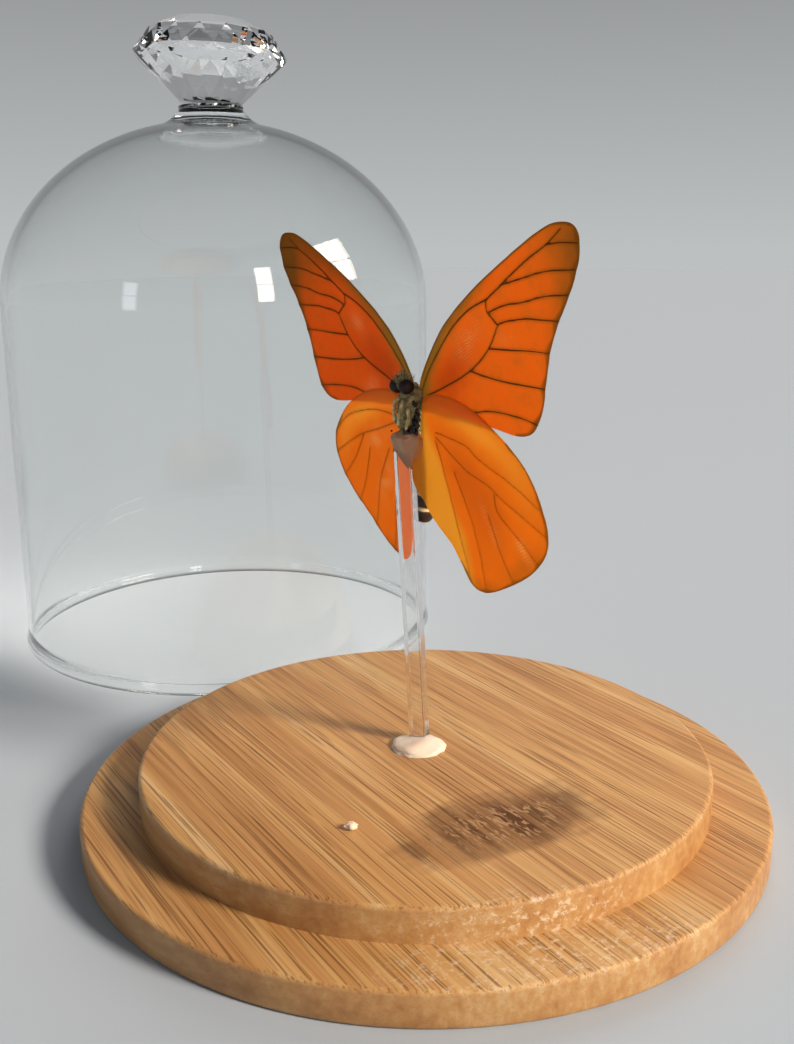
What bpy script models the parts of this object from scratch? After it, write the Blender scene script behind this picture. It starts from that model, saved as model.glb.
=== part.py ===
"""A butterfly specimen on its clear rod and stepped bamboo base, with the glass dome lifted off behind it.

The origin is the centre of the base's underside, and the surface that everything stands on is z = 0.
Lengths at the top are in millimetres and are turned to metres where a shape is made.
"""

import math

import bmesh
import bpy
from mathutils import Matrix, Vector

MM = 0.001
CLEARANCE = 0.3                 # air between two touching pieces

# Bamboo base, one turned board with a step for the dome
BASE_RADIUS = 55.0
BASE_HEIGHT = 10.6
STEP_RADIUS = 45.9
LEDGE_HEIGHT = 5.4
EDGE_ROUND = 0.8
BASE_SIDES = 80

# Glass dome, standing on the same surface behind the base
DOME_CENTRE = (-45.5, 95.0)
DOME_RADIUS = 48.4
DOME_WALL = 1.6
DOME_LIP = 0.5                  # how far the fire-rounded rim stands out
DOME_SHOULDER = 78.0            # height where the straight wall ends
DOME_CROWN = 40.5               # height of the rounded crown above the shoulder
NECK_RADIUS = 7.2
NECK_TOP = 120.6
DOME_SIDES = 62

# Cut knob and the thin washer under it
WASHER_THICKNESS = 0.5
KNOB_FACETS = 16
KNOB_RINGS = ((7.0, 0.0), (11.6, 4.9), (16.7, 9.2), (16.9, 10.4), (13.6, 14.8), (9.4, 17.0), (5.0, 17.8))
KNOB_LEAN = 2.5                 # degrees to the right: it was glued on a little crooked

# Square clear rod, glued a little off centre and leaning to the left
ROD_SIDE = 2.63
ROD_FOOT = (-0.6, 1.9)
ROD_TOP = (-3.1, 1.9)
ROD_TOP_HEIGHT = 60.2
ROD_TURN = -23.0

# The butterfly: its belly faces left and forward, so its right wings come towards the front
BODY_TURN = 55.0
THORAX_HALF = (2.1, 2.2, 4.2)   # sideways, front to back, lengthways
THORAX_BACK = 1.9               # how far the thorax sits behind the rod's line
THORAX_HEIGHT = 65.9
HEAD_HEIGHT = 69.5
HEAD_BACK = 0.3
WING_THICKNESS = 0.3

# Outlines of a right forewing and hindwing, out from the body and up, round from the front of the root
FOREWING = (
    (1.0, 5.0), (5.0, 10.8), (9.4, 14.9), (14.8, 18.8), (19.6, 21.6), (24.1, 24.0), (28.0, 25.9),
    (31.5, 27.1), (34.8, 27.0), (36.3, 25.4), (36.3, 22.6), (35.3, 19.6), (33.6, 16.4), (31.9, 13.2),
    (30.9, 10.4), (30.3, 7.4), (29.8, 4.4), (28.7, 1.3), (26.8, -0.6), (23.8, -1.2), (19.0, -0.8),
    (12.0, 0.0), (5.0, 0.9), (0.8, 1.8),
)
FLAT_HINDWING = (               # the left one, lying fully open
    (2.6, 2.4), (5.6, 4.3), (11.2, 4.0), (15.7, 2.8), (20.4, 0.6), (23.9, -2.0), (26.6, -4.8),
    (27.7, -7.6), (27.2, -10.8), (25.6, -13.4), (23.4, -15.8), (20.6, -17.9), (18.0, -19.8),
    (15.6, -21.9), (12.6, -23.8), (10.0, -24.8), (7.6, -24.7), (5.8, -22.8), (4.4, -18.6),
    (3.2, -13.6), (2.5, -8.4), (2.2, -3.0),
)
HINDWING = (
    (2.5, 3.4), (5.4, 4.7), (9.6, 4.5), (13.2, 3.6), (17.4, 1.7), (21.4, -0.6), (24.6, -3.3),
    (27.2, -6.6), (28.9, -10.0), (29.6, -13.2), (28.4, -16.2), (25.6, -19.0), (21.4, -21.7),
    (17.2, -23.7), (14.4, -24.0), (12.4, -22.9), (10.4, -20.4), (8.2, -17.8), (6.2, -15.6),
    (4.4, -12.6), (3.0, -9.0), (2.3, -5.6), (2.2, -1.6),
)
# The right hindwing's inner edge, folded forward beside the body like a gutter
GUTTER_EDGE = ((4.2, -15.0), (1.6, -12.3), (-0.5, -9.6), (-1.1, -7.4), (-0.5, -5.4), (1.4, -3.2))
GUTTER_FOLD = 2.5
GUTTER_RISE = 0.7


def clear_scene():
    for item in list(bpy.data.objects):
        bpy.data.objects.remove(item, do_unlink=True)


def linear(channel):
    return channel / 12.92 if channel <= 0.04045 else ((channel + 0.055) / 1.055) ** 2.4


def material(name, color, roughness=0.5, metallic=0.0, transmission=0.0, ior=1.5):
    """One Principled material, its colour given as an sRGB hex string."""
    made = bpy.data.materials.new(name)
    made.use_nodes = True
    shader = made.node_tree.nodes["Principled BSDF"]
    red, green, blue = (linear(int(color[i:i + 2], 16) / 255) for i in (0, 2, 4))
    shader.inputs["Base Color"].default_value = (red, green, blue, 1.0)
    shader.inputs["Roughness"].default_value = roughness
    shader.inputs["Metallic"].default_value = metallic
    shader.inputs["Transmission Weight"].default_value = transmission
    shader.inputs["IOR"].default_value = ior
    return made


def link(name, data, finish, smooth_angle=None):
    """Put mesh or curve data into the scene as a named sub-part with its material."""
    made = bpy.data.objects.new(name, data)
    bpy.context.scene.collection.objects.link(made)
    data.materials.append(finish)
    if smooth_angle is not None:
        data.shade_smooth()
        data.set_sharp_from_angle(angle=math.radians(smooth_angle))
    return made


def mesh_from(name, work):
    bmesh.ops.recalc_face_normals(work, faces=work.faces)
    data = bpy.data.meshes.new(name)
    work.to_mesh(data)
    work.free()
    return data


def guide(name, data):
    """A cutter: seen as wire, and left out of the part."""
    made = bpy.data.objects.new(name, data)
    bpy.context.scene.collection.objects.link(made)
    made.hide_render = True
    made.display_type = "WIRE"
    return made


def cut(target, cutter):
    modifier = target.modifiers.new("clear_" + cutter.name, "BOOLEAN")
    modifier.operation = "DIFFERENCE"
    modifier.solver = "EXACT"
    modifier.object = cutter


def rod_line(height):
    """The rod's axis at a height, carried on upwards past its end."""
    share = (height - BASE_HEIGHT) / (ROD_TOP_HEIGHT - BASE_HEIGHT)
    x = ROD_FOOT[0] + (ROD_TOP[0] - ROD_FOOT[0]) * share
    y = ROD_FOOT[1] + (ROD_TOP[1] - ROD_FOOT[1]) * share
    return Vector((x, y, height))


def body_point(sideways, forward, height):
    """A point of the butterfly: sideways to its right wings, forward to its belly, from the rod's line."""
    turn = math.radians(BODY_TURN)
    right = Vector((math.cos(turn), -math.sin(turn), 0.0))
    belly = Vector((-math.sin(turn), -math.cos(turn), 0.0))
    return rod_line(height) + right * sideways + belly * forward


def smooth_loop(points, steps):
    """A closed Catmull-Rom curve through the points."""
    loop = []
    count = len(points)
    for i in range(count):
        p0, p1, p2, p3 = (Vector(points[(i + k) % count]) for k in (-1, 0, 1, 2))
        for s in range(steps):
            t = s / steps
            loop.append(0.5 * (2 * p1 + (p2 - p0) * t + (2 * p0 - 5 * p1 + 4 * p2 - p3) * t ** 2
                               + (3 * p1 - p0 - 3 * p2 + p3) * t ** 3))
    return loop


def arc(centre, radius, start, end, steps):
    """Points of an arc in the (radius, height) plane, angles in degrees."""
    angles = [math.radians(start + (end - start) * i / steps) for i in range(steps + 1)]
    return [(centre[0] + radius * math.cos(a), centre[1] + radius * math.sin(a)) for a in angles]


def turned(name, profile, sides, centre=(0.0, 0.0)):
    """Spin a closed (radius, height) profile about a vertical axis."""
    work = bmesh.new()
    corners = [work.verts.new((r * MM, 0.0, z * MM)) for r, z in profile]
    edges = [work.edges.new((corners[i - 1], corners[i])) for i in range(len(corners))
             if max(profile[i - 1][0], profile[i][0]) > 1e-6]
    bmesh.ops.spin(work, geom=corners + edges, cent=(0, 0, 0), axis=(0, 0, 1),
                   angle=2 * math.pi, steps=sides, use_merge=True, use_duplicate=False)
    bmesh.ops.remove_doubles(work, verts=work.verts, dist=1e-7)
    bmesh.ops.translate(work, verts=work.verts, vec=(centre[0] * MM, centre[1] * MM, 0.0))
    return mesh_from(name, work)


def ellipsoid(name, half, segments=20, rings=14, grow=0.0):
    work = bmesh.new()
    bmesh.ops.create_uvsphere(work, u_segments=segments, v_segments=rings, radius=1.0)
    bmesh.ops.scale(work, verts=work.verts, vec=[(h + grow) * MM for h in half])
    return mesh_from(name, work)


def place(item, sideways, forward, height, tilt=0.0):
    """Stand a piece of the butterfly in its place, turned with the body and tipped towards its belly."""
    item.location = body_point(sideways, forward, height) * MM
    item.rotation_euler = (math.radians(tilt), 0.0, math.radians(-BODY_TURN))
    return item


def tube_mesh(name, route, sides, grow=0.0):
    """Rings of points strung along a route of (middle, radius), joined and closed at both ends."""
    work = bmesh.new()
    rings = []
    for i, (middle, radius) in enumerate(route):
        before, after = route[max(i - 1, 0)][0], route[min(i + 1, len(route) - 1)][0]
        square = Vector((0, 0, 1)).rotation_difference((after - before).normalized())
        ring = []
        for k in range(sides):
            angle = 2 * math.pi * k / sides
            spoke = square @ Vector((math.cos(angle), math.sin(angle), 0.0)) * (radius + grow)
            ring.append(work.verts.new((middle + spoke) * MM))
        rings.append(ring)
    for low, high in zip(rings, rings[1:]):
        for k in range(sides):
            work.faces.new((low[k - 1], low[k], high[k], high[k - 1]))
    work.faces.new(rings[0])
    work.faces.new(rings[-1])
    return mesh_from(name, work)


def make_base(finish):
    top = arc((STEP_RADIUS - EDGE_ROUND, BASE_HEIGHT - EDGE_ROUND), EDGE_ROUND, 90, 0, 2)
    rim = arc((BASE_RADIUS - EDGE_ROUND, LEDGE_HEIGHT - EDGE_ROUND), EDGE_ROUND, 90, 0, 2)
    foot = arc((BASE_RADIUS - EDGE_ROUND, EDGE_ROUND), EDGE_ROUND, 0, -90, 2)
    profile = [(0, 0), (0, BASE_HEIGHT), *top, (STEP_RADIUS, LEDGE_HEIGHT), *rim, *foot]
    link("base", turned("base", profile, BASE_SIDES), finish, 30)


def crown(radius, height, start, end, steps):
    """A quarter ellipse from the wall up to the top, angles in degrees."""
    angles = [math.radians(start + (end - start) * i / steps) for i in range(steps + 1)]
    return [(radius * math.cos(a), DOME_SHOULDER + height * math.sin(a)) for a in angles]


def make_dome(finish):
    inner = DOME_RADIUS - DOME_WALL
    lip_middle = (inner + DOME_RADIUS + DOME_LIP) / 2 - 0.1
    lip_round = (DOME_RADIUS + DOME_LIP - inner) / 2 + 0.1
    lip = [(lip_middle + lip_round * math.cos(a), 1.4 + 1.4 * math.sin(a))
           for a in (math.radians(d) for d in range(45, -226, -45))]
    outside = crown(DOME_RADIUS, DOME_CROWN, 78, 0, 8)
    neck = [(NECK_RADIUS, NECK_TOP), (NECK_RADIUS + 0.2, NECK_TOP - 1.0), (NECK_RADIUS + 1.3, NECK_TOP - 2.2)]
    inside = crown(inner, DOME_CROWN - DOME_WALL, 0, 90, 9)
    profile = [(0, NECK_TOP), *neck, *outside, (DOME_RADIUS, 5.0), *lip, (inner, 5.0), *inside]
    link("dome_glass", turned("dome_glass", profile, DOME_SIDES, DOME_CENTRE), finish, 40)


def make_washer(finish):
    low = NECK_TOP + CLEARANCE
    profile = [(0, low), (0, low + WASHER_THICKNESS), (NECK_RADIUS, low + WASHER_THICKNESS), (NECK_RADIUS, low)]
    link("knob_washer", turned("knob_washer", profile, 48, DOME_CENTRE), finish, 40)


def make_knob(finish):
    """Rings of points, each turned half a facet from the one below, closed by their convex hull."""
    low = NECK_TOP + WASHER_THICKNESS + 3 * CLEARANCE
    work = bmesh.new()
    for level, (radius, height) in enumerate(KNOB_RINGS):
        for k in range(KNOB_FACETS):
            angle = 2 * math.pi * (k + 0.5 * (level % 2)) / KNOB_FACETS
            work.verts.new(((DOME_CENTRE[0] + radius * math.cos(angle)) * MM,
                            (DOME_CENTRE[1] + radius * math.sin(angle)) * MM, (low + height) * MM))
    hull = bmesh.ops.convex_hull(work, input=work.verts)
    spare = [item for item in hull["geom_interior"] if isinstance(item, bmesh.types.BMVert)]
    bmesh.ops.delete(work, geom=spare, context="VERTS")
    foot = Vector((DOME_CENTRE[0], DOME_CENTRE[1], low)) * MM
    bmesh.ops.rotate(work, verts=work.verts, cent=foot, matrix=Matrix.Rotation(math.radians(KNOB_LEAN), 3, "Y"))
    link("knob", mesh_from("knob", work), finish)


def rod_mesh(name, grow=0.0):
    """The square rod from the base to the butterfly, along its leaning axis."""
    low = rod_line(BASE_HEIGHT + CLEARANCE - grow)
    high = rod_line(ROD_TOP_HEIGHT + grow)
    work = bmesh.new()
    bmesh.ops.create_cube(work, size=1.0)
    side = (ROD_SIDE + 2 * grow) * MM
    bmesh.ops.scale(work, verts=work.verts, vec=(side, side, (high - low).length * MM))
    bmesh.ops.transform(work, matrix=turn_about_axis(high - low), verts=work.verts)
    bmesh.ops.translate(work, verts=work.verts, vec=(low + high) / 2 * MM)
    if grow == 0.0:
        upright = [e for e in work.edges if abs((e.verts[0].co - e.verts[1].co).z) > side]
        bmesh.ops.bevel(work, geom=upright, offset=0.12 * MM, segments=2, profile=0.5, affect="EDGES", material=-1)
    return mesh_from(name, work)


def turn_about_axis(axis):
    """Lay local Z along the axis after turning the section about Z."""
    direction = axis.normalized()
    lean = Vector((0, 0, 1)).rotation_difference(direction).to_matrix().to_4x4()
    return lean @ Matrix.Rotation(math.radians(ROD_TURN), 4, "Z")


def make_rod(finish):
    link("rod", rod_mesh("rod"), finish, 30)
    return guide("rod_clearance", rod_mesh("rod_clearance", CLEARANCE))


def make_foot_glue(finish, rod_space):
    """A flat puddle of set glue round the rod's foot, thickest at the rod."""
    work = bmesh.new()
    bmesh.ops.create_uvsphere(work, u_segments=28, v_segments=12, radius=1.0)
    bmesh.ops.bisect_plane(work, geom=work.verts[:] + work.edges[:] + work.faces[:],
                           plane_co=(0, 0, 0), plane_no=(0, 0, -1), clear_outer=True)
    rim = [e for e in work.edges if e.is_boundary]
    bmesh.ops.edgeloop_fill(work, edges=rim)
    for vert in work.verts:
        angle = math.atan2(vert.co.y, vert.co.x)
        wobble = 1 + 0.035 * math.sin(3 * angle + 0.6) + 0.025 * math.sin(5 * angle)
        vert.co.x *= 4.65 * wobble
        vert.co.y *= 4.5 * wobble
        vert.co.z *= 1.15
    bmesh.ops.scale(work, verts=work.verts, vec=(MM, MM, MM))
    floor = BASE_HEIGHT + CLEARANCE
    bmesh.ops.translate(work, verts=work.verts, vec=(-0.9 * MM, 0.2 * MM, floor * MM))
    cut(link("glue_foot", mesh_from("glue_foot", work), finish, 60), rod_space)


def top_glue_mesh(name, grow=0.0):
    """A blob with a run down the rod's front corner."""
    middle = rod_line(61.0)
    work = bmesh.new()
    bmesh.ops.create_uvsphere(work, u_segments=20, v_segments=14, radius=1.0)
    for vert in work.verts:
        drop = max(0.0, -vert.co.z)
        waist = 1 - 0.55 * drop ** 1.4
        vert.co.x = vert.co.x * (2.1 * waist + grow) + 0.35 + 0.4 * drop
        vert.co.y = vert.co.y * (1.9 * waist + grow) + 0.1 - 0.9 * drop
        vert.co.z *= (2.3 if vert.co.z > 0 else 4.2) + grow
    bmesh.ops.scale(work, verts=work.verts, vec=(MM, MM, MM))
    bmesh.ops.translate(work, verts=work.verts, vec=middle * MM)
    return mesh_from(name, work)


def make_top_glue(finish, spaces):
    """The glue that holds the thorax on the rod."""
    blob = link("glue_top", top_glue_mesh("glue_top"), finish, 60)
    for space in spaces:
        cut(blob, space)
    return guide("glue_top_clearance", top_glue_mesh("glue_top_clearance", CLEARANCE))


def make_crumb(finish):
    work = bmesh.new()
    bmesh.ops.create_icosphere(work, subdivisions=2, radius=0.75 * MM)
    bmesh.ops.scale(work, verts=work.verts, vec=(1.15, 0.9, 0.75))
    height = (BASE_HEIGHT + CLEARANCE + 0.56) * MM
    bmesh.ops.translate(work, verts=work.verts, vec=(-10.9 * MM, -26.6 * MM, height))
    link("glue_crumb", mesh_from("glue_crumb", work), finish, 60)


def make_thorax(finish):
    made = link("thorax", ellipsoid("thorax", THORAX_HALF), finish, 60)
    place(made, 0.0, -THORAX_BACK, THORAX_HEIGHT)
    space = guide("thorax_clearance", ellipsoid("thorax_clearance", THORAX_HALF, grow=CLEARANCE))
    return place(space, 0.0, -THORAX_BACK, THORAX_HEIGHT)


def make_head(finish, eye_finish, thorax_space):
    """A narrow head held between two bulging eyes."""
    head = link("head", ellipsoid("head", (1.2, 1.15, 1.35)), finish, 60)
    place(head, 0.0, -HEAD_BACK, HEAD_HEIGHT + 0.4)
    cut(head, thorax_space)
    half = (0.95, 1.2, 1.15)
    for side, name in ((-1, "eye_left"), (1, "eye_right")):
        eye = link(name, ellipsoid(name, half, 18, 12), eye_finish, 60)
        place(eye, side * 1.25, -HEAD_BACK + 0.05, HEAD_HEIGHT + 0.15)
        cut(eye, thorax_space)
        space = guide(name + "_clearance", ellipsoid(name + "_clearance", half, 18, 12, CLEARANCE))
        place(space, side * 1.25, -HEAD_BACK + 0.05, HEAD_HEIGHT + 0.15)
        cut(head, space)


def make_abdomen(finish):
    """Hangs from the thorax behind the rod and hooks forward at its tip."""
    route = [
        (body_point(0.0, -3.1, 61.0), 0.55), (body_point(0.0, -3.3, 60.4), 0.9),
        (body_point(0.0, -3.6, 59.2), 1.2), (body_point(0.0, -3.9, 57.4), 1.3),
        (body_point(0.0, -4.1, 55.2), 1.3), (body_point(-0.1, -4.0, 52.6), 1.35),
        (body_point(-0.2, -3.7, 50.2), 1.35), (body_point(-0.3, -3.4, 48.6), 1.1),
        (body_point(-0.3, -3.2, 47.5), 0.5),
    ]
    link("abdomen", tube_mesh("abdomen", route, 18), finish, 60)
    return guide("abdomen_clearance", tube_mesh("abdomen_clearance", route, 18, CLEARANCE))


def make_legs(finish):
    """Legs drawn up against the belly, each a bent tapering tube."""
    routes = (
        ((1.2, 0.55, 67.6), (0.9, 0.95, 66.0), (0.3, 0.95, 64.4), (-0.2, 0.6, 63.2)),
        ((0.5, 0.75, 67.9), (-0.4, 0.95, 67.2), (-1.2, 0.6, 66.6)),
        ((-1.5, 0.3, 66.7), (-1.8, 0.3, 65.3), (-1.7, 0.1, 63.6)),
        ((1.8, 0.1, 66.4), (2.0, 0.2, 64.8), (1.4, 0.5, 63.0)),
    )
    for number, stops in enumerate(routes, 1):
        route = [(body_point(*stop), 0.26 - 0.03 * i) for i, stop in enumerate(stops)]
        link("leg_%d" % number, tube_mesh("leg_%d" % number, route, 8), finish, 60)


def wing_matrix(root, yaw, pitch):
    """Local X runs out to the right, Y to the front of the wing and Z towards the belly side."""
    yaw, pitch = math.radians(yaw), math.radians(pitch)
    normal = Vector((math.sin(yaw) * math.cos(pitch), -math.cos(yaw) * math.cos(pitch), math.sin(pitch)))
    out = Vector((math.cos(yaw), math.sin(yaw), 0.0))
    front = normal.cross(out)
    frame = Matrix((out, front, normal)).transposed().to_4x4()
    return Matrix.Translation(root * MM) @ frame


def fold_gutter(vert):
    """Turn the inner strip of a hindwing forward round the body."""
    past = GUTTER_FOLD * MM - vert.co.x
    if past > 0:
        rounding = 0.6 * MM
        shift = rounding * (1 - math.exp(-past / rounding))
        vert.co.x = GUTTER_FOLD * MM - shift
        vert.co.z += GUTTER_RISE * (past - shift)


def wing(name, outline, frame, side, finish, spaces, turn=0.0, width=1.0, gutter=False):
    """A thin plate with a wing's outline; side is 1 on the right and -1 on the left."""
    work = bmesh.new()
    corners = [work.verts.new((p.x * MM, p.y * MM, 0.0)) for p in smooth_loop(outline, 2)]
    work.faces.new(corners)
    if gutter:
        for step in range(5):
            everything = work.verts[:] + work.edges[:] + work.faces[:]
            line = (GUTTER_FOLD - 0.7 * step) * MM
            bmesh.ops.bisect_plane(work, geom=everything, plane_co=(line, 0, 0), plane_no=(1, 0, 0))
        bmesh.ops.triangulate(work, faces=work.faces)
        for vert in work.verts:
            fold_gutter(vert)
    bmesh.ops.scale(work, verts=work.verts, vec=(side * width, 1.0, 1.0))
    bmesh.ops.rotate(work, verts=work.verts, cent=(0, 0, 0), matrix=Matrix.Rotation(math.radians(turn), 3, "Z"))
    bmesh.ops.recalc_face_normals(work, faces=work.faces)
    bmesh.ops.solidify(work, geom=work.faces[:], thickness=WING_THICKNESS * MM)
    bmesh.ops.triangulate(work, faces=work.faces)
    bmesh.ops.transform(work, matrix=frame, verts=work.verts)
    made = link(name, mesh_from(name, work), finish)
    for space in spaces:
        cut(made, space)


def make_wings(fore_finish, hind_finish, spaces):
    fore_root = body_point(0.0, -3.2, 66.0)
    hind_root = body_point(0.0, -2.2, 64.0)
    gutter_outline = HINDWING[:-5] + GUTTER_EDGE
    wing("forewing_right", FOREWING, wing_matrix(fore_root, -56.8, -1.9), 1, fore_finish, spaces, width=1.012)
    wing("forewing_left", FOREWING, wing_matrix(fore_root, -55.2, -6.9), -1, fore_finish, spaces)
    wing("hindwing_right", gutter_outline, wing_matrix(hind_root, -55.3, -2.5), 1, hind_finish, [],
         width=1.03, gutter=True)
    wing("hindwing_left", FLAT_HINDWING, wing_matrix(hind_root, -58.0, -8.5), -1, hind_finish, spaces)


def main():
    clear_scene()
    bamboo = material("carbonised_bamboo", "B98B56", 0.45)
    crystal = material("clear_glass", "F4F8F7", 0.02, transmission=1.0, ior=1.5)
    acrylic = material("clear_acrylic", "EFEFEA", 0.08, transmission=0.9, ior=1.49)
    hot_glue = material("hot_glue", "EFE3CF", 0.4)
    dark_metal = material("blackened_metal", "2A2C2B", 0.3, metallic=1.0)
    fur = material("thorax_fur", "7E7440", 0.9)
    eye_shell = material("eye_shell", "1E0508", 0.25)
    abdomen_shell = material("abdomen_shell", "3A2414", 0.6)
    leg_shell = material("leg_shell", "A59A5C", 0.6)
    forewing_scales = material("forewing_scales", "D8480C", 0.6)
    hindwing_scales = material("hindwing_scales", "DD6A10", 0.6)

    make_base(bamboo)
    make_dome(crystal)
    make_washer(dark_metal)
    make_knob(crystal)
    rod_space = make_rod(acrylic)
    make_foot_glue(hot_glue, rod_space)
    thorax_space = make_thorax(fur)
    abdomen_space = make_abdomen(abdomen_shell)
    glue_space = make_top_glue(hot_glue, [rod_space, thorax_space, abdomen_space])
    make_wings(forewing_scales, hindwing_scales, [thorax_space, abdomen_space, glue_space])
    make_crumb(hot_glue)
    make_head(fur, eye_shell, thorax_space)
    make_legs(leg_shell)


main()
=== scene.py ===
import math
import random

import bmesh
import bpy
from mathutils import Matrix, Quaternion, Vector, noise


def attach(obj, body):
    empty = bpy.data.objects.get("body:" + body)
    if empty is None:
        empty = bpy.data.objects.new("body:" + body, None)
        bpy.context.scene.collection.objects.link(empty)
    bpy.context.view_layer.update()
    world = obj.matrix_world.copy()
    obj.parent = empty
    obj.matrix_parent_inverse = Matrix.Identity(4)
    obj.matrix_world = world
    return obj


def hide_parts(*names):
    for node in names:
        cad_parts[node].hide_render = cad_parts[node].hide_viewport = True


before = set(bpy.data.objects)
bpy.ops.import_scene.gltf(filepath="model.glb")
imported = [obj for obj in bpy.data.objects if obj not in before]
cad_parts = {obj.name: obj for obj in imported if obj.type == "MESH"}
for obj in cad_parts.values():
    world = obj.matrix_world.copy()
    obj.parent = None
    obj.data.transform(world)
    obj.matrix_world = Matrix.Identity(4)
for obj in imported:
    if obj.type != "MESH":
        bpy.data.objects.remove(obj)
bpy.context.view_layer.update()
mm = 0.001


def linearColor(hexText, alpha=1.0):
    channels = [int(hexText[i:i + 2], 16) / 255 for i in (0, 2, 4)]
    curved = [c / 12.92 if c <= 0.04045 else ((c + 0.055) / 1.055) ** 2.4 for c in channels]
    return (*curved, alpha)


def addNode(tree, kind, inputs=None, stops=None, **settings):
    node = tree.nodes.new("ShaderNode" + kind)
    for name, value in settings.items():
        setattr(node, name, value)
    for name, value in (inputs or {}).items():
        if isinstance(value, bpy.types.Node):           # a node stands for its first output in use
            value = next(plug for plug in value.outputs if plug.enabled)
        if isinstance(value, bpy.types.NodeSocket):
            tree.links.new(value, node.inputs[name])
        else:                                           # a text is a colour
            node.inputs[name].default_value = linearColor(value) if isinstance(value, str) else value
    if stops:                   # (place, colour) pairs of a colour ramp
        ramp = node.color_ramp.elements
        while len(ramp) < len(stops):
            ramp.new(1.0)
        for spot, (place, color) in zip(ramp, stops):
            spot.position = place
            spot.color = linearColor(color) if isinstance(color, str) else (color, color, color, 1.0)
    return node


def startMaterial(name):
    made = bpy.data.materials.new(name)
    made.use_nodes = True
    made.node_tree.nodes.clear()
    return made, made.node_tree, addNode(made.node_tree, "TexCoord").outputs["Object"]


def finishPiece(work, name, material, smoothAngle, replaced=()):
    data = bpy.data.meshes.new(name)
    work.to_mesh(data)
    work.free()
    data.materials.append(material)
    data.shade_smooth()
    data.set_sharp_from_angle(angle=math.radians(smoothAngle))
    piece = bpy.data.objects.new(name, data)
    bpy.context.scene.collection.objects.link(piece)
    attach(piece, "root")
    if replaced:
        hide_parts(*replaced)
    return piece


def spinProfile(profile, steps, centre=(0, 0)):
    work = bmesh.new()
    corners = [work.verts.new((r * mm, 0, z * mm)) for r, z in profile]
    edges = [work.edges.new(pair) for pair in zip(corners, corners[1:])]
    bmesh.ops.spin(work, geom=corners + edges, cent=(0, 0, 0), axis=(0, 0, 1), dvec=(0, 0, 0),
                   angle=2 * math.pi, steps=steps, use_merge=True, use_duplicate=False)
    bmesh.ops.remove_doubles(work, verts=work.verts, dist=1e-7)
    bmesh.ops.recalc_face_normals(work, faces=work.faces)
    bmesh.ops.translate(work, verts=work.verts, vec=(centre[0] * mm, centre[1] * mm, 0))
    return work


def smoothLine(points, spacing, closed=False):
    count = len(points)
    line = []
    for i in range(count if closed else count - 1):
        picks = [(i + k) % count if closed else min(max(i + k, 0), count - 1) for k in (-1, 0, 1, 2)]
        p0, p1, p2, p3 = (Vector(points[k]) for k in picks)
        steps = max(1, round((p2 - p1).length / spacing))
        for s in range(steps):
            t = s / steps
            line.append(0.5 * (2 * p1 + (p2 - p0) * t + (2 * p0 - 5 * p1 + 4 * p2 - p3) * t ** 2
                               + (3 * p1 - p0 - 3 * p2 + p3) * t ** 3))
    if not closed:
        line.append(Vector(points[-1]))
    return line


def tubeMesh(points, radii, roundness):
    curve = bpy.data.curves.new("tube", "CURVE")
    curve.dimensions = "3D"
    curve.bevel_depth = mm
    curve.bevel_resolution = roundness
    curve.use_fill_caps = True
    spline = curve.splines.new("POLY")
    spline.points.add(len(points) - 1)
    for point, place, radius in zip(spline.points, points, radii):
        point.co = (*(Vector(place) * mm), 1)
        point.radius = radius
    holder = bpy.data.objects.new("tube", curve)
    bpy.context.scene.collection.objects.link(holder)
    made = bpy.data.meshes.new_from_object(holder.evaluated_get(bpy.context.evaluated_depsgraph_get()))
    bpy.data.objects.remove(holder)
    return made


# Where the butterfly is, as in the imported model: the rod leans a little and the body is turned sideways
rodFoot, rodTop = Vector((-0.6, 1.9, 10.6)), Vector((-3.1, 1.9, 60.2))
bodyTurn = math.radians(55)
toRight = Vector((math.cos(bodyTurn), -math.sin(bodyTurn), 0))
toBelly = Vector((-math.sin(bodyTurn), -math.cos(bodyTurn), 0))


def bodyPoint(sideways, forward, height):
    share = (height - rodFoot.z) / (rodTop.z - rodFoot.z)
    line = rodFoot.lerp(rodTop, share)
    line.z = height
    return line + toRight * sideways + toBelly * forward


def bodyMatrix(sideways, forward, height):
    turn = Matrix((toRight, -toBelly, Vector((0, 0, 1)))).transposed().to_4x4()
    return Matrix.Translation(bodyPoint(sideways, forward, height) * mm) @ turn


print("stage")
studio = {
    "lens": 37.93, "cameraPlace": (-4.22, -166.94, 89.63), "aim": (0, 0.97114, -0.23852), "roll": -0.299,
    "floorColor": "B8C3D0", "floorCloud": "A9B0B8", "floorRadius": 6.0,       # radius in metres
    "skyLow": "BDC0C1", "skyMiddle": "8F9192", "skyTop": "5C5E60",
}
cameraData = bpy.data.cameras.new("camera")
cameraData.lens = studio["lens"]
cameraData.sensor_width = 36
cameraData.clip_start = 0.005
camera = bpy.data.objects.new("camera", cameraData)
bpy.context.scene.collection.objects.link(camera)
facing = Vector(studio["aim"]).to_track_quat("-Z", "Y")
camera.rotation_mode = "QUATERNION"
camera.rotation_quaternion = facing @ Quaternion((0, 0, 1), math.radians(studio["roll"]))
camera.location = Vector(studio["cameraPlace"]) * mm
bpy.context.scene.camera = camera
bpy.context.scene.view_settings.view_transform = "Standard"

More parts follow.
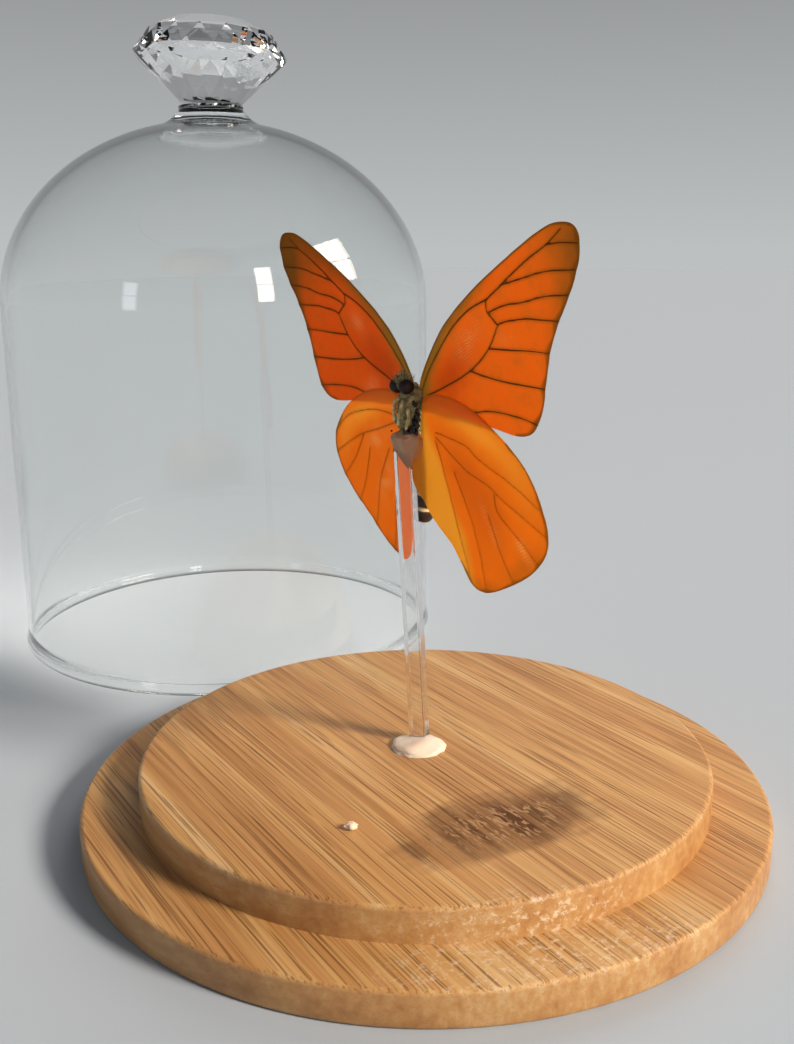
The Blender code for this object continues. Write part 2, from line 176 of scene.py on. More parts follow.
floorMaterial, tree, space = startMaterial("matt paper sweep")       # even and dull, holds soft shadows
clouds = addNode(tree, "TexNoise", {"Vector": space, "Scale": 60.0, "Detail": 4.0})
cloudShare = addNode(tree, "Math", {0: clouds, 1: 0.06}, operation="MULTIPLY")
floorTone = addNode(tree, "Mix", {0: cloudShare, 6: studio["floorColor"], 7: studio["floorCloud"]},
                    data_type="RGBA")
paper = addNode(tree, "BsdfPrincipled", {"Base Color": floorTone, "Roughness": 0.75})
addNode(tree, "OutputMaterial", {"Surface": paper})
work = bmesh.new()
bmesh.ops.create_circle(work, cap_ends=True, segments=96, radius=studio["floorRadius"])
floorMesh = bpy.data.meshes.new("floor")
work.to_mesh(floorMesh)
work.free()
floorMesh.materials.append(floorMaterial)
floor = bpy.data.objects.new("floor", floorMesh)
bpy.context.scene.collection.objects.link(floor)

world = bpy.data.worlds.new("soft studio")
world.use_nodes = True
bpy.context.scene.world = world
tree = world.node_tree
heightOfRay = addNode(tree, "SeparateXYZ", {"Vector": addNode(tree, "TexCoord").outputs["Generated"]})
skyRamp = addNode(tree, "ValToRGB", {"Fac": heightOfRay.outputs["Z"]},
                  ((0.0, studio["skyLow"]), (0.25, studio["skyMiddle"]), (0.75, studio["skyTop"])))
tree.links.new(skyRamp.outputs["Color"], tree.nodes["Background"].inputs["Color"])

beams = {                       # spread in degrees; the bounce comes from behind, through the wings
    "daylight": {"from": (0.78, -0.42, 0.47), "strength": 4.85, "spread": 14, "color": "FFF0DE"},
    "bounce": {"from": (0.30, 0.72, 0.62), "strength": 1.1, "spread": 40, "color": "FFF6EC"},
}
for name, beam in beams.items():
    lamp = bpy.data.lights.new(name, "SUN")
    lamp.energy = beam["strength"]
    lamp.angle = math.radians(beam["spread"])
    lamp.color = linearColor(beam["color"])[:3]
    holder = bpy.data.objects.new(name, lamp)
    bpy.context.scene.collection.objects.link(holder)
    holder.rotation_mode = "QUATERNION"
    holder.rotation_quaternion = Vector(beam["from"]).to_track_quat("Z", "Y")
    holder.visible_glossy = False       # only the windows show in the glass
    holder.visible_transmission = False

windowFill = (0.94, 0.95)       # how much of its share of the window each pane takes, across and up
softboxes = {       # place, aim and size of the window in metres, panes across and up, watts, colour
    "windowFront": ((0.34, -0.51, 0.29), (-0.03, 0.05, 0.08), (0.11, 0.30), (1, 2), 0.9, "FFF3E4"),
    "windowRight": ((0.60, -0.08, 0.40), (-0.02, 0.06, 0.08), (0.30, 0.30), (2, 2), 2.6, "FFF1E0"),
    "windowLeft": ((-0.49, -0.52, 0.20), (-0.05, 0.05, 0.08), (0.10, 0.22), (1, 2), 0.18, "F2F6FF"),
}
for name, (place, aim, size, panes, watts, tint) in softboxes.items():
    turn = (Vector(aim) - Vector(place)).to_track_quat("-Z", "Y")
    for column in range(panes[0]):
        for row in range(panes[1]):
            lamp = bpy.data.lights.new(name, "AREA")
            lamp.shape = "RECTANGLE"
            lamp.size, lamp.size_y = (s / p * fill for s, p, fill in zip(size, panes, windowFill))
            lamp.energy = watts / (panes[0] * panes[1])
            lamp.color = linearColor(tint)[:3]
            holder = bpy.data.objects.new(name, lamp)
            bpy.context.scene.collection.objects.link(holder)
            offset = Vector(((column + 0.5) / panes[0] - 0.5, (row + 0.5) / panes[1] - 0.5, 0))
            holder.location = Vector(place) + turn @ Vector((offset.x * size[0], offset.y * size[1], 0))
            holder.rotation_mode = "QUATERNION"
            holder.rotation_quaternion = turn
            holder.visible_diffuse = False      # a window gives reflections only


print("bamboo base")
bamboo = {
    "radius": 55.0, "height": 10.6, "stepRadius": 45.9, "ledge": 5.4, "edge": 0.75, "steps": 240,
    "patterns": {       # turn in degrees from +X, size along, across and through the grain and place, mm
        "fibre": (-57.5, (34.0, 0.33, 0.33), (0, 0, 0)),
        "band": (-57.5, (60.0, 1.1, 1.4), (0, 0, 0)),
        "strip": (-57.5, (160.0, 6.5, 10.0), (0, 0, 0)),            # laminated strips
        "bundle": (-57.5, (16.0, 0.62, 0.62), (0, 0, 0)),           # vascular bundles
        "node": (-57.5, (9.5, 18.0, 4.0), (10.5, -25.3, 10.6)),     # the joint of the culm
        "wavy": (-50.6245, (2.0, 0.6, 2.0), (0, 0, 0)),
        "dust": (14.0, (28.0, 8.5, 5.0), (14.0, -47.0, 7.6)),
        "speck": (28.648, (1.2, 0.9, 1.0), (0, 0, 0)),
    },
}
profile = [(0, 0), (bamboo["radius"], 0), (bamboo["radius"], bamboo["ledge"]),
           (bamboo["stepRadius"], bamboo["ledge"]), (bamboo["stepRadius"], bamboo["height"]),
           (0, bamboo["height"])]
work = spinProfile(profile, bamboo["steps"])
rims = [e for e in work.edges if len(e.link_faces) == 2 and e.is_convex and e.calc_face_angle() > 1.0
        and abs(e.verts[0].co.z - e.verts[1].co.z) < 1e-6]
bmesh.ops.bevel(work, geom=rims, offset=bamboo["edge"] * mm, segments=4, profile=0.5, affect="EDGES",
                material=-1)


def bambooMaterial():
    # Carbonised bamboo board, turned and lightly waxed: fine fibre lines on top, dots where fibres end, and
    # painted shade on its sides
    made, tree, space = startMaterial("carbonised bamboo, turned and waxed")
    grain = {}
    for key, (turn, size, place) in bamboo["patterns"].items():
        placing = {"Vector": space, "Rotation": (0, 0, math.radians(turn)),
                   "Scale": [s * mm for s in size], "Location": [p * mm for p in place]}
        grain[key] = addNode(tree, "Mapping", placing, vector_type="TEXTURE")
    fine = addNode(tree, "TexNoise", {"Vector": grain["fibre"], "Scale": 1.0, "Detail": 3.0,
                                      "Roughness": 0.6})
    mid = addNode(tree, "TexNoise", {"Vector": grain["band"], "Scale": 1.0, "Detail": 2.0})
    wide = addNode(tree, "TexNoise", {"Vector": grain["strip"], "Scale": 1.0, "Detail": 2.0})
    dots = addNode(tree, "TexVoronoi", {"Vector": grain["bundle"], "Scale": 1.0, "Randomness": 0.9})
    wobble = addNode(tree, "TexNoise", {"Vector": grain["node"], "Scale": 1.6, "Detail": 3.0})
    wavy = addNode(tree, "TexNoise", {"Vector": grain["wavy"], "Scale": 1.0, "Detail": 2.0,
                                      "Distortion": 0.8})
    specks = addNode(tree, "TexNoise", {"Vector": grain["speck"], "Scale": 1.0, "Detail": 6.0,
                                        "Roughness": 0.72})
    midPart = addNode(tree, "Math", {0: mid, 1: 0.465}, operation="MULTIPLY")
    toneShare = addNode(tree, "Math", {0: wide, 1: 0.558, 2: midPart}, operation="MULTIPLY_ADD")
    color = addNode(tree, "ValToRGB", {"Fac": toneShare},
                    ((0.34, "A97741"), (0.46, "C08D57"), (0.56, "CE9F64"), (0.68, "DCB682")))
    upward = addNode(tree, "SeparateXYZ", {"Vector": addNode(tree, "NewGeometry").outputs["Normal"]})
    facing = addNode(tree, "ValToRGB", {"Fac": upward.outputs["Z"]}, ((0.2, 0.22), (0.8, 1.0)))
    # painted shade: the less a face looks up, the more its colour is darkened towards 8F6236
    sideways = addNode(tree, "Math", {0: facing, 1: -0.45, 2: 0.45}, operation="MULTIPLY_ADD")
    fineLine = addNode(tree, "ValToRGB", {"Fac": fine}, ((0.36, 0.8), (0.43, 0.36), (0.49, 0.0)))
    dash = addNode(tree, "ValToRGB", {"Fac": dots}, ((0.16, 1.0), (0.34, 0.0)))
    dashBand = addNode(tree, "ValToRGB", {"Fac": mid}, ((0.42, 0.0), (0.60, 0.65)))
    dashShare = addNode(tree, "Math", {0: dash, 1: dashBand}, operation="MULTIPLY")
    # The node, where the culm was jointed: a scorched patch across the grain with pale wavy fibres in it
    fromNode = addNode(tree, "VectorMath", {0: grain["node"]}, operation="LENGTH")
    waver = addNode(tree, "Math", {0: wobble, 1: 0.5}, operation="SUBTRACT")
    nodeEdge = addNode(tree, "Math", {0: waver, 1: 0.9, 2: fromNode}, operation="MULTIPLY_ADD")
    nodeMask = addNode(tree, "ValToRGB", {"Fac": nodeEdge}, ((0.30, 1.0), (0.72, 0.66), (1.0, 0.0)))
    nodeFibre = addNode(tree, "ValToRGB", {"Fac": mid}, ((0.34, 0.5), (0.54, 1.0)))
    wavyCore = addNode(tree, "ValToRGB", {"Fac": nodeEdge}, ((0.35, 1.0), (0.75, 0.0)))
    wavyLine = addNode(tree, "ValToRGB", {"Fac": wavy}, ((0.55, 0.0), (0.60, 0.8)))
    # Dusty scuffs on the ledge and lower riser at the front
    fromDust = addNode(tree, "VectorMath", {0: grain["dust"]}, operation="LENGTH")
    dustReach = addNode(tree, "ValToRGB", {"Fac": fromDust}, ((0.2, 0.9), (0.7, 0.6), (1.0, 0.0)))
    dustSpeck = addNode(tree, "ValToRGB", {"Fac": specks}, ((0.52, 0.0), (0.64, 0.9)))
    # laid in turn: fibre lines, fibre-end dots, painted shade on the sides, the node patch, its wavy
    # fibres, dust
    for mask, strength, paint in (
            (fineLine, facing, "7A5029"), (dashShare, facing, "6B4420"), (sideways, 1.0, "8F6236"),
            (nodeMask, nodeFibre, "5A3411"), (wavyCore, wavyLine, "B58C60"),
            (dustReach, dustSpeck, "EAD8BE")):
        share = addNode(tree, "Math", {0: mask, 1: strength}, operation="MULTIPLY")
        color = addNode(tree, "Mix", {0: share, 6: color, 7: paint}, data_type="RGBA")
    relief = addNode(tree, "Math", {0: dash, 1: -0.5, 2: fine}, operation="MULTIPLY_ADD")
    bump = addNode(tree, "Bump", {"Height": relief, "Strength": 0.15, "Distance": 0.00008})
    rough = addNode(tree, "Math", {0: fine, 1: 0.25, 2: 0.34}, operation="MULTIPLY_ADD")
    wood = addNode(tree, "BsdfPrincipled", {"Base Color": color, "Roughness": rough, "Normal": bump,
                                            "IOR": 1.5, "Coat Weight": 0.06, "Coat Roughness": 0.35})
    addNode(tree, "OutputMaterial", {"Surface": wood})
    return made


finishPiece(work, "bambooBase", bambooMaterial(), 30, ["base"])


print("glass dome")
dome = {
    "centre": (-45.5, 95.0), "radius": 48.4, "wall": 1.5, "shoulder": 78.0, "crown": 40.5,
    "neckRadius": 7.2, "neckTop": 120.6, "lip": 0.5, "steps": 200,
}


def crownLine(radius, rise, start, end, steps):
    angles = [math.radians(start + (end - start) * i / steps) for i in range(steps + 1)]
    return [(radius * math.cos(a), dome["shoulder"] + rise * math.sin(a)) for a in angles]


def clearGlass(name, ior, tint):
    # Soda-lime glass, blown and fire-polished: only its reflections and the bent view through it are seen
    made, tree, space = startMaterial(name)
    smear = addNode(tree, "TexNoise", {"Vector": space, "Scale": 35.0, "Detail": 3.0})
    rough = addNode(tree, "ValToRGB", {"Fac": smear}, ((0.45, 0.0), (0.75, 0.02)))
    glass = addNode(tree, "BsdfPrincipled", {"Base Color": tint, "IOR": ior, "Transmission Weight": 1.0,
                                             "Roughness": rough})
    addNode(tree, "OutputMaterial", {"Surface": glass})
    return made


inner = dome["radius"] - dome["wall"]
outside = smoothLine([(dome["neckRadius"], dome["neckTop"]),
                      (dome["neckRadius"] + 0.8, dome["neckTop"] - 0.9),
                      (dome["neckRadius"] + 2.3, dome["neckTop"] - 2.3),  # the neck flares into the crown
                      *crownLine(dome["radius"], dome["crown"], 76, 0, 24)], 0.9)
lipMiddle = (inner + dome["radius"] + dome["lip"]) / 2 - 0.05
lipRadius = (dome["radius"] + dome["lip"] - inner) / 2 + 0.05
lipBead = [(lipMiddle + lipRadius * math.cos(math.radians(a)), 1.45 + 1.45 * math.sin(math.radians(a)))
           for a in range(50, -231, -20)]
inside = crownLine(inner, dome["crown"] - dome["wall"], 0, 90, 30)
profile = [(0, dome["neckTop"]), *[tuple(p) for p in outside], (dome["radius"], 40), (dome["radius"], 4.5),
           *lipBead, (inner, 4.5), (inner, 40), *inside[:-1], (0, inside[-1][1])]
work = spinProfile(profile, dome["steps"], dome["centre"])
glassDome = finishPiece(work, "domeGlass", clearGlass("soda-lime glass, blown", 1.5, "FBFDFC"),
                        40, ["dome_glass"])
glassDome.visible_shadow = False        # so thin a wall lets the light straight through
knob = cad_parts["knob"]
knob.data.materials.clear()
knob.data.materials.append(clearGlass("crystal glass, cut and polished", 1.54, "FEFEFF"))


def darkMetal():
    # Blackened steel washer, stamped: dark, with bright dots painted in as highlights where light catches
    # its edge
    made, tree, space = startMaterial("blackened steel washer")
    glintDots = addNode(tree, "TexNoise", {"Vector": space, "Scale": 900.0, "Detail": 1.0})
    # the bright dots are painted highlights
    tone = addNode(tree, "ValToRGB", {"Fac": glintDots}, ((0.50, "17191A"), (0.62, "B9BDBB")))
    metal = addNode(tree, "BsdfPrincipled", {"Base Color": tone, "Metallic": 1.0, "Roughness": 0.28})
    addNode(tree, "OutputMaterial", {"Surface": metal})
    return made


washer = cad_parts["knob_washer"]
washer.data.materials.clear()
washer.data.materials.append(darkMetal())


print("rod and glue")


def clearAcrylic():
    # Cast acrylic rod, sawn and a little hazed: clear with a milky skin and soft edges
    made, tree, space = startMaterial("acrylic rod, hazed")
    drawn = addNode(tree, "Mapping", {"Vector": space, "Scale": (1.0, 1.0, 6.0)}, vector_type="TEXTURE")
    haze = addNode(tree, "TexNoise", {"Vector": drawn, "Scale": 160.0, "Detail": 4.0})
    rough = addNode(tree, "ValToRGB", {"Fac": haze}, ((0.35, 0.01), (0.75, 0.09)))
    clear = addNode(tree, "BsdfPrincipled", {"Base Color": "FBFAF9", "IOR": 1.49,
                                             "Transmission Weight": 0.99, "Roughness": rough})
    addNode(tree, "OutputMaterial", {"Surface": clear})
    return made


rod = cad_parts["rod"]
rod.data.materials.clear()
rod.data.materials.append(clearAcrylic())


def gluePiece(name, replaced, place, half, ripple, cutFloor, material, seed):
    work = bmesh.new()
    bmesh.ops.create_icosphere(work, subdivisions=5, radius=1.0)
    if cutFloor:
        bmesh.ops.bisect_plane(work, geom=work.verts[:] + work.edges[:] + work.faces[:],
                               plane_co=(0, 0, 0), plane_no=(0, 0, -1), clear_outer=True)
        bmesh.ops.edgeloop_fill(work, edges=[e for e in work.edges if e.is_boundary])
    for vert in work.verts:
        spot = vert.co.copy()
        swell = 1 + ripple * noise.noise(spot * 1.7 + Vector((seed, 0, 0)))
        swell += ripple * 0.3 * noise.noise(spot * 6.0 + Vector((0, seed, 0)))
        flat = min(1.0, abs(spot.z) * 6) if cutFloor else 1       # the cut face stays level
        vert.co = Vector((spot.x * half[0] * swell, spot.y * half[1] * swell,
                          spot.z * half[2] * (1 + (swell - 1) * flat)))
    bmesh.ops.scale(work, verts=work.verts, vec=(mm, mm, mm))
    bmesh.ops.translate(work, verts=work.verts, vec=Vector(place) * mm)
    return finishPiece(work, name, material, 70, replaced)


def glueMaterial(name, tint, deep, clear):
    # Hot-melt glue, set from a gun: milky and waxy, light sinks into it
    made, tree, space = startMaterial(name)
    cloud = addNode(tree, "TexNoise", {"Vector": space, "Scale": 420.0, "Detail": 4.0})
    tone = addNode(tree, "Mix", {0: cloud, 6: tint, 7: deep}, data_type="RGBA")
    bump = addNode(tree, "Bump", {"Height": cloud, "Strength": 0.3, "Distance": 0.0002})
    wax = addNode(tree, "BsdfPrincipled", {"Base Color": tone, "Normal": bump, "Roughness": 0.33,
                                           "IOR": 1.48, "Subsurface Weight": 0.35,
                                           "Subsurface Scale": 0.0012, "Transmission Weight": clear})
    addNode(tree, "OutputMaterial", {"Surface": wax})
    return made


paleGlue = glueMaterial("hot-melt glue, set pale", "F8E6D6", "EFD3B8", 0.0)
gluePiece("footGlue", ["glue_foot"], (-0.9, -0.3, 10.62), (4.7, 4.1, 1.35), 0.11, True, paleGlue, 3)
gluePiece("glueCrumb", ["glue_crumb"], (-10.9, -26.6, 11.15), (0.85, 0.7, 0.5), 0.5, False, paleGlue, 11)


print("wings")
foreOutline = (
    (1.0, 5.0), (5.0, 10.8), (9.4, 14.9), (14.8, 18.8), (19.6, 21.6), (24.1, 24.0), (28.0, 25.9),
    (31.5, 27.1), (34.8, 27.0), (36.3, 25.4), (36.3, 22.6), (35.3, 19.6), (33.6, 16.4), (31.9, 13.2),
    (30.9, 10.4), (30.3, 7.4), (29.8, 4.4), (28.7, 1.3), (26.8, -0.6), (23.8, -1.2), (19.0, -0.8),
    (12.0, 0.0), (5.0, 0.9), (0.8, 1.8),
)
hindOutline = (
    (2.5, 3.4), (5.4, 4.7), (9.6, 4.5), (13.2, 3.6), (17.4, 1.7), (21.4, -0.6), (24.6, -3.3),
    (27.2, -6.6), (28.9, -10.0), (29.6, -13.2), (28.4, -16.2), (25.6, -19.0), (21.4, -21.7),
    (17.2, -23.7), (14.4, -24.0), (12.4, -22.9), (10.4, -20.4), (8.2, -17.8), (6.2, -15.6),
    (4.4, -12.6), (3.0, -9.0), (2.3, -5.6), (2.2, -1.6),
)
flatHindOutline = (             # the left hindwing, lying fully open
    (2.6, 2.4), (5.6, 4.3), (11.2, 4.0), (15.7, 2.8), (20.4, 0.6), (23.9, -2.0), (26.6, -4.8),
    (27.7, -7.6), (27.2, -10.8), (25.6, -13.4), (23.4, -15.8), (20.6, -17.9), (18.0, -19.8),
    (15.6, -21.9), (12.6, -23.8), (10.0, -24.8), (7.6, -24.7), (5.8, -22.8), (4.4, -18.6),
    (3.2, -13.6), (2.5, -8.4), (2.2, -3.0),
)
gutterEdge = ((4.2, -15.0), (1.6, -12.3), (-0.5, -9.6), (-1.1, -7.4), (-0.5, -5.4), (1.4, -3.2))
flatHindVeins = (
    ((4.2, 0.2), (10.6, 0.6), (16.2, -0.2), (21.6, -1.8), (26.8, -5.2)),
    ((4.2, -0.4), (11.0, -2.6), (17.3, -4.4), (22.5, -6.6), (27.5, -9.0)),
    ((16.4, -4.2), (18.6, -6.6), (21.4, -9.6), (25.8, -13.0)),
    ((15.0, -6.4), (16.8, -10.4), (19.0, -14.0), (21.6, -17.0)),
    ((8.6, -5.6), (12.4, -11.0), (14.6, -16.0), (16.8, -20.6)),
    ((4.6, -3.2), (7.6, -10.4), (9.4, -17.0), (11.6, -24.0)),
)
foreVeins = (
    ((2.2, 2.1), (7.2, 4.0), (13.5, 6.9), (17.8, 10.2), (20.1, 13.6)),
    ((20.1, 13.8), (18.8, 14.8), (17.7, 15.6), (17.5, 16.7), (17.7, 17.2)),
    ((17.7, 17.2), (20.4, 18.9), (22.8, 20.5), (26.9, 22.9), (30.3, 24.5), (33.1, 26.4)),
    ((30.3, 24.5), (33.1, 24.7), (36.2, 24.6)),
    ((20.8, 19.2), (25.9, 20.3), (29.9, 21.1), (35.8, 21.4)),
    ((18.4, 15.5), (21.5, 16.5), (25.8, 17.1), (29.5, 17.9), (34.6, 18.3)),
    ((20.1, 13.8), (21.6, 14.3), (25.9, 14.9), (28.9, 14.9), (32.9, 14.9)),
    ((18.0, 10.4), (21.6, 10.5), (26.9, 10.7), (31.0, 10.7)),
    ((13.5, 6.9), (18.2, 6.3), (23.7, 6.0), (30.1, 5.9)),
    ((3.3, 2.2), (8.4, 1.5), (13.9, 1.0), (18.1, 1.6), (22.6, 1.6), (26.9, 1.2), (28.7, 0.9)),
    ((17.7, 17.2), (13.8, 15.7), (10.1, 13.3), (6.2, 9.7), (2.9, 5.8), (1.1, 2.6)),
)
hindVeins = (
    ((5.4, -1.0), (12.1, -2.1), (15.2, -3.7), (21.6, -6.0), (27.0, -8.5), (28.6, -9.2)),
    ((5.4, -1.7), (11.9, -5.6), (17.3, -7.3), (20.1, -8.8), (25.6, -11.0), (29.4, -12.6)),
    ((18.5, -8.2), (18.9, -10.0), (19.7, -11.3), (22.6, -13.3), (24.7, -14.7), (27.6, -17.0)),
    ((17.2, -11.6), (18.4, -13.9), (20.2, -17.8), (22.6, -21.2)),
    ((9.6, -6.4), (13.5, -13.0), (14.2, -15.2), (15.3, -18.7), (16.4, -23.7)),
    ((5.4, -2.3), (8.2, -9.3), (9.7, -13.0), (10.4, -15.5), (12.2, -20.7), (12.8, -22.9)),
)
wingMake = {
    "grid": 0.45, "thickness": 0.10, "ridge": 0.08, "ripple": 0.22,
    "gutterFold": 2.5, "gutterRise": 0.7, "gutterRounding": 0.6,
}


def wingMatrix(root, yaw, pitch):
    yaw, pitch = math.radians(yaw), math.radians(pitch)
    normal = Vector((math.sin(yaw) * math.cos(pitch), -math.cos(yaw) * math.cos(pitch), math.sin(pitch)))
    out = Vector((math.cos(yaw), math.sin(yaw), 0))
    front = normal.cross(out)
    return Matrix.Translation(root * mm) @ Matrix((out, front, normal)).transposed().to_4x4()


def distanceTo(spot, lines):
    nearest = 1e9
    for line in lines:
        for start, end in zip(line, line[1:]):
            run = end - start
            share = max(0.0, min(1.0, (spot - start).dot(run) / max(run.length_squared, 1e-12)))
            nearest = min(nearest, (spot - start - run * share).length)
    return nearest


def bump2d(spot, centre, reach, turn=0.0):
    offset = Vector(spot) - Vector(centre)
    offset.rotate(Matrix.Rotation(-math.radians(turn), 2))
    return math.exp(-((offset.x / reach[0]) ** 2 + (offset.y / reach[1]) ** 2))


def sideOf(spot, line, softness):
    # How far a spot is to the left of a drawn line, from 0 to 1 across the softness
    if not line:
        return 0.0
    points = [Vector(p) for p in line]
    start, end = min(zip(points, points[1:]), key=lambda pair: distanceTo(spot, [pair]))
    run = (end - start).normalized()
    offset = run.x * (spot.y - start.y) - run.y * (spot.x - start.x)
    return max(0.0, min(1.0, 0.5 + offset / softness))


wingFields = ("toVein", "toMargin", "toCosta", "red", "amber", "brown", "scuff", "inner", "lapped")


def foldGutter(spot):
    past = wingMake["gutterFold"] - spot.x
    if past > 0:
        shift = wingMake["gutterRounding"] * (1 - math.exp(-past / wingMake["gutterRounding"]))
        spot.x = wingMake["gutterFold"] - shift
        spot.z += wingMake["gutterRise"] * (past - shift)


def buildWing(name, replaced, outline, veins, wing, material):
    edgeLine = [Vector((p.x, p.y)) for p in smoothLine(outline, 0.4, closed=True)]
    veinLines = [[Vector((p.x, p.y)) for p in smoothLine(vein, 0.8)] for vein in veins]
    first, last = wing["margin"]            # outline points between which the outer margin runs
    marginLine = [Vector((p.x, p.y)) for p in smoothLine(outline[first:last], 0.8)]
    costaLine = [Vector((p.x, p.y)) for p in smoothLine(outline[:first + 1], 0.8)]
    work = bmesh.new()
    work.faces.new([work.verts.new((p.x, p.y, 0)) for p in edgeLine])
    step = wingMake["grid"]
    lows = [min(p[i] for p in edgeLine) for i in (0, 1)]
    highs = [max(p[i] for p in edgeLine) for i in (0, 1)]
    for axis in (0, 1):
        for k in range(1, int((highs[axis] - lows[axis]) / step) + 1):
            place, direction = Vector((0, 0, 0)), Vector((0, 0, 0))
            place[axis] = lows[axis] + k * step
            direction[axis] = 1
            bmesh.ops.bisect_plane(work, geom=work.verts[:] + work.edges[:] + work.faces[:], dist=1e-4,
                                   plane_co=place, plane_no=direction)
    bmesh.ops.triangulate(work, faces=[f for f in work.faces if len(f.verts) > 4])
    layers = {key: work.verts.layers.float.new(key) for key in wingFields}
    for vert in work.verts:
        spot = Vector((vert.co.x, vert.co.y))
        vert[layers["toVein"]] = distanceTo(spot, veinLines)
        vert[layers["toMargin"]] = distanceTo(spot, [marginLine])
        vert[layers["toCosta"]] = distanceTo(spot, [costaLine])
        # inner marks the wing's own pale amber zone inside the fold line; the fold tone paints it lighter
        # still, as painted light on the shaded gutter
        vert[layers["inner"]] = sideOf(spot, wing.get("foldLine"), 1.6)
        # lapped marks the strip under the forewing, which the lap tone paints lighter as painted light
        # against its shade
        vert[layers["lapped"]] = sideOf(spot, wing.get("lapLine"), 0.35)
        for key in ("red", "amber", "brown", "scuff"):
            vert[layers[key]] = sum(strength * bump2d(spot, centre, reach, turn)
                                    for strength, centre, reach, turn in wing[key])
        ridge = wingMake["ridge"] * math.exp(-(vert[layers["toVein"]] / 0.7) ** 2)
        swell = noise.noise(Vector((spot.x * 0.11, spot.y * 0.11, wing["seed"])))
        swell += 0.35 * noise.noise(Vector((spot.x * 0.35, spot.y * 0.35, wing["seed"] + 5)))
        vert.co.z = ridge + wingMake["ripple"] * swell + wing["camber"] * (spot.length / 30) ** 2
    uvLayer = work.loops.layers.uv.new("wing")
    for face in work.faces:
        for loop in face.loops:
            loop[uvLayer].uv = (loop.vert.co.x / 40, loop.vert.co.y / 40)
    surface = {}
    for vert in work.verts:
        surface[(round(vert.co.x / step), round(vert.co.y / step))] = vert.co.z
    if wing["gutter"]:
        for vert in work.verts:
            foldGutter(vert.co)
    work.normal_update()
    if sum(f.normal.z for f in work.faces) < 0:
        bmesh.ops.reverse_faces(work, faces=work.faces)
    bmesh.ops.solidify(work, geom=work.faces[:], thickness=wingMake["thickness"])
    bmesh.ops.scale(work, verts=work.verts, vec=(mm, mm, mm))
    for line in veinLines:
        lift = []
        for p in line:
            key = (round(p.x / step), round(p.y / step))
            near = [surface[(key[0] + i, key[1] + j)] for i in (-1, 0, 1) for j in (-1, 0, 1)
                    if (key[0] + i, key[1] + j) in surface]
            raised = Vector((p.x, p.y, sum(near) / len(near) if near else 0.0))
            if wing["gutter"]:
                foldGutter(raised)
            lift.append(raised)
        if len(lift) < 3:
            continue
        taper = [wing["veinRadius"] * (1.25 - 0.6 * i / (len(lift) - 1)) for i in range(len(lift))]
        vein = tubeMesh(lift, taper, 1)
        started = len(work.verts)
        work.from_mesh(vein)
        work.verts.ensure_lookup_table()
        for vert in work.verts[started:]:               # a vein takes no colour from the borders
            vert[layers["toMargin"]] = vert[layers["toCosta"]] = 9.0
        bpy.data.meshes.remove(vein)
    bmesh.ops.scale(work, verts=work.verts, vec=(wing["side"] * wing["width"], 1, 1))
    if wing["side"] < 0:
        bmesh.ops.reverse_faces(work, faces=work.faces)
    bmesh.ops.transform(work, matrix=wingMatrix(*wing["place"]), verts=work.verts)
    return finishPiece(work, name, material, 60, replaced)


